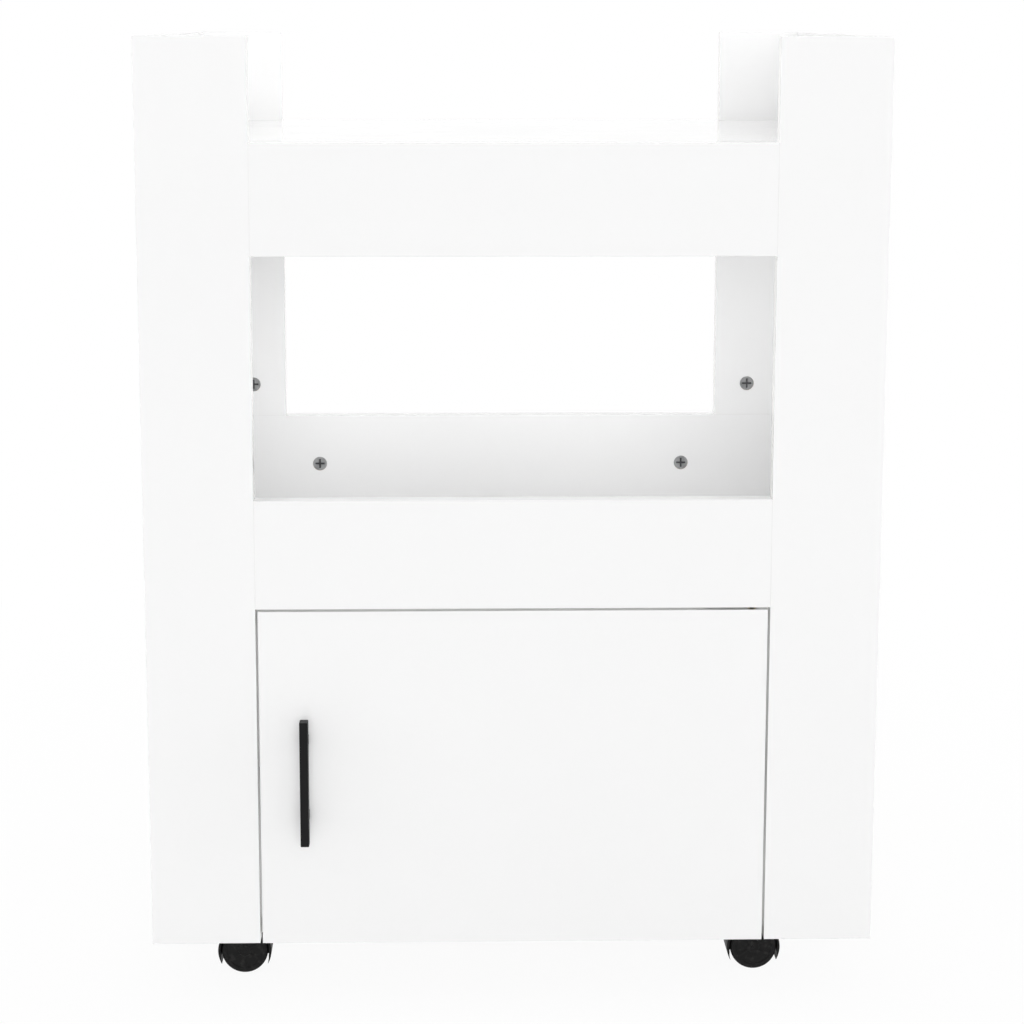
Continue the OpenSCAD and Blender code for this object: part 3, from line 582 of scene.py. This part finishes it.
def cam_nut(shell, nut):
    """A cam nut as rings from the bottom of its cross recess out over the face, down into a groove
    round it, over the rim and down its side. A pointer is sunk into the rim towards its bolt."""
    reach, half_width, recess_deep, lip, groove_deep = np.array([4.5, 0.9, 2.0, 0.15, 0.3]) * MM
    angles = cross_angles(reach, half_width, 40)
    cross, circle = cross_outline(angles, reach, half_width), np.ones(len(angles))
    recess = [(cross * 0.92, -recess_deep), (cross, -lip), (cross + lip, 0.0)]
    # rings of the face and the rim: distance from the rim's outside, and height
    face = [(1.55 * MM, 0.0), (1.45 * MM, -groove_deep), (0.95 * MM, -groove_deep),
            (0.85 * MM, 0.0), (0.3 * MM, 0.0), (0.08 * MM, -0.1 * MM), (0.0, -0.35 * MM),
            (0.0, -nut.height)]
    radii = np.stack([r for r, _ in recess] + [circle * (nut.radius - inset) for inset, _ in face])
    heights = np.outer([h for _, h in recess + face], circle)
    pointer = np.minimum(angles, np.abs(angles - FULL_TURN)) < POINTER_HALF_ANGLE
    rim_top = slice(6, 8)
    heights[rim_top, pointer] = -groove_deep
    to_place = basis(nut.floor + nut.axis * nut.height, nut.axis, nut.to_bolt)
    # the first two rows, the recess floor and its wall, take the darker zinc: painted shade in the
    # cross recess
    shell.skin(to_place(polar(angles, radii, heights)), second=2)


def screw(shell, low, high, way, flat, shank_r):
    """A cross-head screw along way in the box of its CAD solid. Rings go from the bottom of the
    cross over the head, domed or flat, and on down a shank whose radius rises and falls with the
    cosine of angle / 360 - depth / pitch turns, which winds the thread round it."""
    span = abs((high - low) @ way)
    head = (low + high) / 2 - way * span / 2
    base, length = (head, span) if flat else (head + way * HEAD_H, span - HEAD_H)
    reach, half_width, drive_deep, lip = 0.55 * HEAD_R, 0.13 * HEAD_R, 0.9 * MM, 0.08 * MM
    angles = cross_angles(reach, half_width, 24)
    cross, circle = cross_outline(angles, reach, half_width), np.ones(len(angles))
    top, rise = (0.0, 0.0) if flat else (HEAD_H, 0.22 * HEAD_H)
    rings = [(cross * 0.5, top - drive_deep), (cross, top - lip), (cross + lip, top),
             (circle * HEAD_R * 0.8, top - rise * 0.7), (circle * HEAD_R * 0.94, top - rise * 2)]
    if flat:
        rings += [(circle * HEAD_R, -0.06 * MM), (circle * shank_r, -(HEAD_R - shank_r))]
    else:
        rings += [(circle * HEAD_R, 0.25 * HEAD_H), (circle * HEAD_R * 0.97, 0.0),
                  (circle * shank_r, 0.0)]
    pitch, tip, core = 1.3 * MM, 1.6 * MM, 0.80
    depths = np.arange(HEAD_R - shank_r + 0.4 * MM, length - tip, pitch / 5)
    wave = 0.5 + 0.5 * np.cos(angles[None] - FULL_TURN * depths[:, None] / pitch)
    rings += [(shank_r * (core + (1 - core) * w ** 2), -depth) for depth, w in zip(depths, wave)]
    rings.append((circle * shank_r * 0.15, -length))
    points = polar(angles, np.stack([r for r, _ in rings]), np.array([h for _, h in rings]))
    shell.skin(basis(base, -way, Z if abs(way[2]) < 0.5 else X)(points))


def screw_group(node, body, way, is_flat=lambda low: False, shank_r=SHANK_R):
    """Screws for all solids of a CAD node, pointing along way. is_flat tells a flat head from a
    domed one by the lowest corner of the screw."""
    shell = Shell()
    for low, high in solids(node):
        screw(shell, low, high, way, is_flat(low), shank_r)
    shell.piece(node + "_threaded", [STEEL], body, "steel", node, sharp=32)


for group, nuts in NUTS.items():
    shell = Shell()
    for nut in nuts:
        cam_nut(shell, nut)
    # the second material is the darker zinc of painted shade in the cross recesses
    shell.piece(group + "_cam_nut_faces", [ZINC, RECESS_PAINTED_SHADE], "cart", "cam_zinc", group + "_cam_nuts",
                sharp=30)

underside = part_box("bottom_board")[0][2]
screw_group("catch_screws", "cart", Z)
screw_group("caster_screws", "cart", Z)
screw_group("strike_screws", "door", -Y, is_flat=lambda low: True)
screw_group("handle_screws", "door", -Y, shank_r=2.0 * MM)
screw_group("pivot_screws", "cart", Z, is_flat=lambda low: low[2] >= underside)


# ---------------------------------------------------------------- handle, pivots, catch and bumpers


def door_handle():
    """The handle: a straight square bar and two legs behind it, each a block with rounded edges."""
    low, high = node_box("door_handle")
    bar_deep, leg_pitch, leg_into_bar = 11 * MM, 64 * MM, 1.2 * MM
    leg_half_wide, leg_half_high = 3 * MM, 4 * MM
    middle, shell = (low + high) / 2, Shell()
    slab(shell, low, [high[0], low[1] + bar_deep, high[2]], 0.6 * MM)
    for leg_z in (middle[2] - leg_pitch / 2, middle[2] + leg_pitch / 2):
        front = low[1] + bar_deep - leg_into_bar
        slab(shell, [middle[0] - leg_half_wide, front, leg_z - leg_half_high],
             [middle[0] + leg_half_wide, high[1], leg_z + leg_half_high], 0.5 * MM)
    shell.piece("bar_handle", [HANDLE], "door", "handle_black", "door_handle", sharp=40)


def bush(node):
    """A turned bush: a circle for each step of its profile, inside and out."""
    low, high = node_box(node)
    outer, deep, inner = (high[0] - low[0]) / 2, high[2] - low[2], 2.05 * MM
    ease, bore = 0.25 * MM, 9.0 * MM
    opens_up = node.startswith("upper")
    foot = [(low[0] + high[0]) / 2, (low[1] + high[1]) / 2, low[2] if opens_up else high[2]]
    profile = [(0, 0), (outer - ease, 0), (outer, ease), (outer, deep - ease), (outer - ease, deep),
               (inner + ease, deep), (inner, deep - ease), (inner, deep - bore), (0, deep - bore)]
    shell = Shell()
    shell.lathe(profile, basis(foot, Z if opens_up else -Z, X), 32)
    shell.piece("turned_" + node, [BRASS], "door", "bush_brass", node, sharp=30)


def bumpers():
    """Rubber domes: the profile rises with the sine of an angle while its radius draws in."""
    shell, bend = Shell(), np.linspace(0, QUARTER_TURN, 7)
    for low, high in solids("door_bumpers"):
        foot = [(low[0] + high[0]) / 2, high[1], (low[2] + high[2]) / 2]
        radius, tall = (high[0] - low[0]) / 2, high[1] - low[1]
        drawn_in = 0.6 * tall * (1 - np.cos(bend)) + 0.3 * radius * np.sin(bend) ** 3
        dome = np.stack([radius - drawn_in, tall * np.sin(bend)], -1)
        shell.lathe([(0, 0), (radius, 0), *dome, (0, tall)], basis(foot, -Y, X), 32)
    shell.piece("rubber_bumpers", [RUBBER], "cart", "bumper_rubber", "door_bumpers", sharp=50)


def catch_insides():
    """The catch's magnet and the two pole plates beside it, which stand a little proud in front."""
    low, high = node_box("magnet_catch")
    middle, into_catch = (low + high) / 2, 4 * MM

    def insert(shell, rise, out, half_long, half_high):
        slab(shell, [middle[0] - half_long, low[1] - out, middle[2] + rise - half_high],
             [middle[0] + half_long, low[1] + into_catch, middle[2] + rise + half_high], 0.15 * MM)

    poles, core = Shell(), Shell()
    for rise in (-3.2 * MM, 3.2 * MM):
        insert(poles, rise, 0.12 * MM, 11 * MM, 0.6 * MM)
    insert(core, 0.0, 0.05 * MM, 10 * MM, 2.6 * MM)
    poles.piece("catch_pole_plates", [STEEL], "cart", "steel")
    core.piece("catch_magnet", [MAGNET], "cart", "steel")


door_handle()
eased_copy("pivot_plate", "upper_pivot_plate", STEEL, "cart", "steel", 0.25 * MM, 1.5 * MM)
eased_copy("pivot_bracket", "lower_pivot_bracket", STEEL, "cart", "steel", 0.25 * MM, 1.5 * MM)
eased_copy("strike_plate", "catch_strike_plate", STEEL, "door", "steel", 0.2 * MM, 3 * MM)
eased_copy("magnet_catch", "catch_body", PLASTIC, "cart", "catch_plastic", 0.4 * MM, 2.5 * MM)
bush("upper_bush")
bush("lower_bush")
bumpers()
catch_insides()


# ---------------------------------------------------------------- casters

HOOD_R, HOOD_INNER_R = 23 * MM, 20.8 * MM
SWIVEL_TRAIL = 9.3 * MM


def fender(half_wide):
    """The hood's curved shell: a rounded rectangle between its inner and outer radius at each angle
    round the axle. Towards its two tips the inside leaves its own circle for one about a point
    below the axle, which meets the outside at the tips."""
    drop, tip = 6.75 * MM, math.radians(30)
    cut_r = math.sqrt(HOOD_R ** 2 - 2 * HOOD_R * drop * math.sin(tip) + drop ** 2)
    sweep = np.linspace(-tip, math.pi + tip, 73)
    cut = -drop * np.sin(sweep) + np.sqrt(cut_r ** 2 - (drop * np.cos(sweep)) ** 2)
    inside = np.minimum(np.maximum(HOOD_INNER_R, cut), HOOD_R - 0.25 * MM)
    thick = HOOD_R - inside
    ease = np.minimum(0.7 * MM, thick * 0.42)[:, None]
    # the nudge settles which corner of the rectangle an arc belongs to where two of them meet
    arc = np.concatenate([quarter * QUARTER_TURN + np.linspace(0, QUARTER_TURN, 4)
                          for quarter in range(4)])
    nudge = 1e-6
    across = np.sign(np.cos(arc + nudge)) * (half_wide - ease) + ease * np.cos(arc)
    along = np.sign(np.sin(arc + nudge)) * (thick[:, None] / 2 - ease) + ease * np.sin(arc)
    r = (inside + HOOD_R)[:, None] / 2 + along
    return np.stack([r * np.cos(sweep)[:, None], across, r * np.sin(sweep)[:, None]], -1)


def web():
    """The disc between the wheels: its edge follows the hood and is cut level under the axle, where
    its radius is the cut's depth over the sine of the angle."""
    angles, below_axle, half_wide, ease = even_angles(96), 7 * MM, 4 * MM, 0.5 * MM
    falling = np.minimum(np.sin(angles), -0.01)
    level = np.where(np.sin(angles) < -0.01, -below_axle / falling, 1.0)
    edge = np.minimum(level, HOOD_R - 1.2 * MM)
    rings = np.stack([edge - ease, edge, edge, edge - ease])
    side = [-half_wide, ease - half_wide, half_wide - ease, half_wide]
    deep = np.broadcast_to(np.array(side)[:, None], rings.shape)
    return np.stack([rings * np.cos(angles), deep, rings * np.sin(angles)], -1)


def neck_profile(top):
    """The turned post under the mounting plate, from inside the hood up to its grooved collar."""
    r, foot = 9 * MM, 30 * MM
    return [(0, foot), (r - 1.5 * MM, foot), (r - 1.2 * MM, 40.5 * MM), (r - 1.0 * MM, 44 * MM),
            (r - 0.9 * MM, top - 6.2 * MM), (r - 0.3 * MM, top - 5.6 * MM), (r, top - 5.0 * MM),
            (r, top - 2.6 * MM), (r - 0.5 * MM, top - 2.3 * MM), (r - 0.5 * MM, top - 1.9 * MM),
            (r, top - 1.6 * MM), (r, top - 0.5 * MM), (r - 0.5 * MM, top), (0, top)]


def wheel_profile(wide, r):
    """(radius, distance from the inner face) in millimetres, from the hub cap over the dished side,
    the rim and the crowned tread to the inner face."""
    return np.array([
        (0, wide), (1.2, wide), (1.5, wide - 0.25), (2.3, wide - 0.25), (2.6, wide), (4.4, wide),
        (4.9, wide - 0.25), (5.2, wide - 0.8), (14.9, wide - 0.8), (15.4, wide - 0.35),
        (15.8, wide - 0.06), (16.6, wide), (r - 1.8, wide - 0.15), (r - 0.9, wide - 0.7),
        (r - 0.3, wide - 1.6), (r - 0.05, wide - 2.9), (r, wide / 2), (r - 0.05, 2.4),
        (r - 0.4, 1.1), (r - 1.1, 0.35), (r - 2.2, 0), (0, 0)])


def wheel(letter, corner, axle, way):
    """One wheel as rings of circles. Six low ribs cross the dish of its side, where the cosine of
    six times the angle is near 1."""
    node = f"wheel_{letter}_{corner}"
    low, high = node_box(node)
    wide, r = (high[1] - low[1]) / MM, (high[2] - low[2]) / 2 / MM
    near = min(abs(low[1] - axle[1]), abs(high[1] - axle[1]))
    angles, dish, rib_high = even_angles(96), slice(7, 9), 0.5
    profile = wheel_profile(wide, r)
    heights = np.repeat(profile[:, 1:], len(angles), 1)
    heights[dish] += rib_high * np.clip((np.cos(6 * angles) - 0.80) / 0.12, 0, 1)
    shell = Shell()
    shell.skin(basis(axle + way * near, way, Z)(polar(angles, profile[:, 0] * MM, heights * MM)))
    shell.piece(f"tyre_{letter}_{corner}", [TYRE], node, "wheel_black", node, sharp=32)


def caster(corner):
    """Hood, neck, web, two wheels and mounting plate of one caster. The wheels' axle is along Y."""
    low, high = node_box("caster_housing_" + corner)
    wheel_middle = sum(node_box("wheel_a_" + corner)) / 2
    axle = np.array([wheel_middle[0], (low[1] + high[1]) / 2, wheel_middle[2]])
    to_axle, swivel = basis(axle, Z, X), [axle[0] + SWIVEL_TRAIL, axle[1], 0.0]
    shell = Shell()
    shell.skin(to_axle(fender((high[1] - low[1]) / 2)))
    shell.skin(to_axle(web()))
    shell.lathe(neck_profile(high[2]), basis(swivel, Z, X), 48)
    shell.piece("hood_" + corner, [HOOD], "caster_" + corner, "caster_black",
                "caster_housing_" + corner, sharp=35)
    wheel("a", corner, axle, -Y)
    wheel("b", corner, axle, Y)
    eased_copy("caster_plate_" + corner, "mounting_plate_" + corner, STEEL, "cart", "steel",
               0.25 * MM, 1.5 * MM)


for corner in CORNERS:
    caster(corner)


# ---------------------------------------------------------------- CAD nodes that stay

KEPT = {"wooden_dowels": BEECH}
KEPT.update({f"axle_{corner}": STEEL for corner in CORNERS})
KEPT.update({f"{group}_cam_bolts": STEEL for group in NUT_GROUPS})
for name, material in KEPT.items():
    for slot in NODES[name].material_slots:
        slot.material = material


# ---------------------------------------------------------------- floor, light and camera

LOBE_RISE, LOBE_POWER = 0.14, 26.0


def seen_directly(f):
    """1 for rays of the camera, reflections and clear things, and 0 for rays that carry light."""
    camera, glossy, clear = (f.add("LightPath", out=f"Is {kind} Ray")
                             for kind in ("Camera", "Glossy", "Transmission"))
    return f.math("MAXIMUM", f.math("MAXIMUM", camera, glossy), clear)


def studio_floor():
    """Pale floor: white paint to the camera and to reflections, and greyer to the light that it
    sends up. The camera and reflections see it mixed with plain white, all white far from the cart,
    and near it with a share of the paint, so that the cart's shadow stays."""
    f = Finish(bpy.data.materials.new("studio_floor"))
    seen_paint, lit_paint = (0.97, 0.97, 0.97), (0.67, 0.67, 0.67)
    near, far, white_near = 0.35, 1.4, 0.93
    away = f.add("VectorMath", {"operation": "LENGTH"}, {0: f.place}, "Value")
    direct = seen_directly(f)
    white_share = f.ease(away, near, far, white_near, 1.0) * direct
    paint = f.add("BsdfDiffuse", None, {"Color": f.mix(direct, lit_paint, seen_paint)})
    white = f.add("Emission", None, {"Color": (1.0, 1.0, 1.0), "Strength": 1.0})
    f.output(f.add("MixShader", None, {0: white_share, 1: paint, 2: white}))
    radii = np.array([0.0, 0.5, 1.0, 2.0, 4.0, 8.0, 16.0])
    points = polar(even_angles(64), radii, radii * 0)
    shell = Shell()
    shell.grid(np.concatenate([points, points[:, :1]], 1), Z)
    floor = bpy.data.objects.new("studio_floor", shell.mesh("studio_floor", [f.owner], 38.0))
    bpy.context.scene.collection.objects.link(floor)


def studio_world(even, above, **walls):
    """Light from all round by its direction d: an even part, light from above that grows with the
    square of d's height, and for each wall of the studio a broad soft lobe about a direction a
    little over level, max(0, d . towards the lobe) to a power. The camera and reflections see plain
    white."""
    world = bpy.data.worlds.new("studio")
    bpy.context.scene.world = world
    f = Finish(world)
    height = f.math("MAXIMUM", f.add("SeparateXYZ", None, {0: f.place}, "Z"), 0.0)
    light = height * height * above + even
    level = {"front": np.array([0.07, -1.0, 0.0]), "back": Y, "left": -X, "right": X}
    for wall, strength in walls.items():
        towards = level[wall] + LOBE_RISE * Z
        towards = towards / np.linalg.norm(towards)
        lobe = f.add("VectorMath", {"operation": "DOT_PRODUCT"}, {0: f.place, 1: towards}, "Value")
        light = light + f.math("POWER", f.math("MAXIMUM", lobe, 0.0), LOBE_POWER) * strength
    direct = seen_directly(f)
    inputs = {"Color": (1.0, 1.0, 1.0), "Strength": direct + light * (1.0 - direct)}
    f.output(f.add("Background", None, inputs), "OutputWorld")


def fill(name, where, towards, size, power, spread=180):
    """A weak area lamp inside the cart, turned along towards. It keeps the white boards there pale,
    where few bounces of the studio's light arrive. Neither the camera nor a reflection sees it. The
    spread in degrees keeps its light off the boards right beside it."""
    lamp = bpy.data.lights.new(name, "AREA")
    lamp.shape, lamp.energy = "RECTANGLE", power
    lamp.size, lamp.size_y = size
    lamp.spread = math.radians(spread)
    strip = bpy.data.objects.new(name, lamp)
    strip.location = where
    strip.rotation_euler = Vector(towards).to_track_quat("-Z", "Y").to_euler()
    strip.visible_camera = strip.visible_glossy = False
    bpy.context.scene.collection.objects.link(strip)


def photo_camera():
    """The camera at the photograph's viewpoint, with its small turn, tilt and roll."""
    lens = bpy.data.cameras.new("photo_camera")
    lens.lens, lens.sensor_width = 87.10, 36.0
    lens.shift_x, lens.shift_y = 0.0112, -0.070
    lens.clip_start, lens.clip_end = 0.1, 60.0
    camera = bpy.data.objects.new("photo_camera", lens)
    camera.location = (-0.0580, -2.1824, 0.8165)
    yaw, pitch, roll = 0.02405, -0.17015, 0.0010
    aim = Euler((QUARTER_TURN + pitch, 0.0, -yaw)).to_matrix() @ Matrix.Rotation(roll, 3, "Z")
    camera.rotation_euler = aim.to_euler()
    bpy.context.scene.collection.objects.link(camera)
    bpy.context.scene.camera = camera


studio_floor()
studio_world(0.22, 0.88, front=7.4, back=5.5, left=5.0, right=4.6)
fill("left_post_fill", (-0.18, -0.17, 0.62), (-0.13, 1.0, -0.31), (0.10, 0.10), 0.060, 80)
fill("right_post_fill", (0.18, -0.17, 0.62), (0.15, 1.0, -0.31), (0.10, 0.10), 0.090, 80)
fill("cupboard_fill", (0.0, -0.12, 0.310), -Z, (0.54, 0.14), 0.17)
photo_camera()
scene = bpy.context.scene
scene.view_settings.view_transform = "Standard"
scene.cycles.diffuse_bounces, scene.cycles.max_bounces = 14, 18
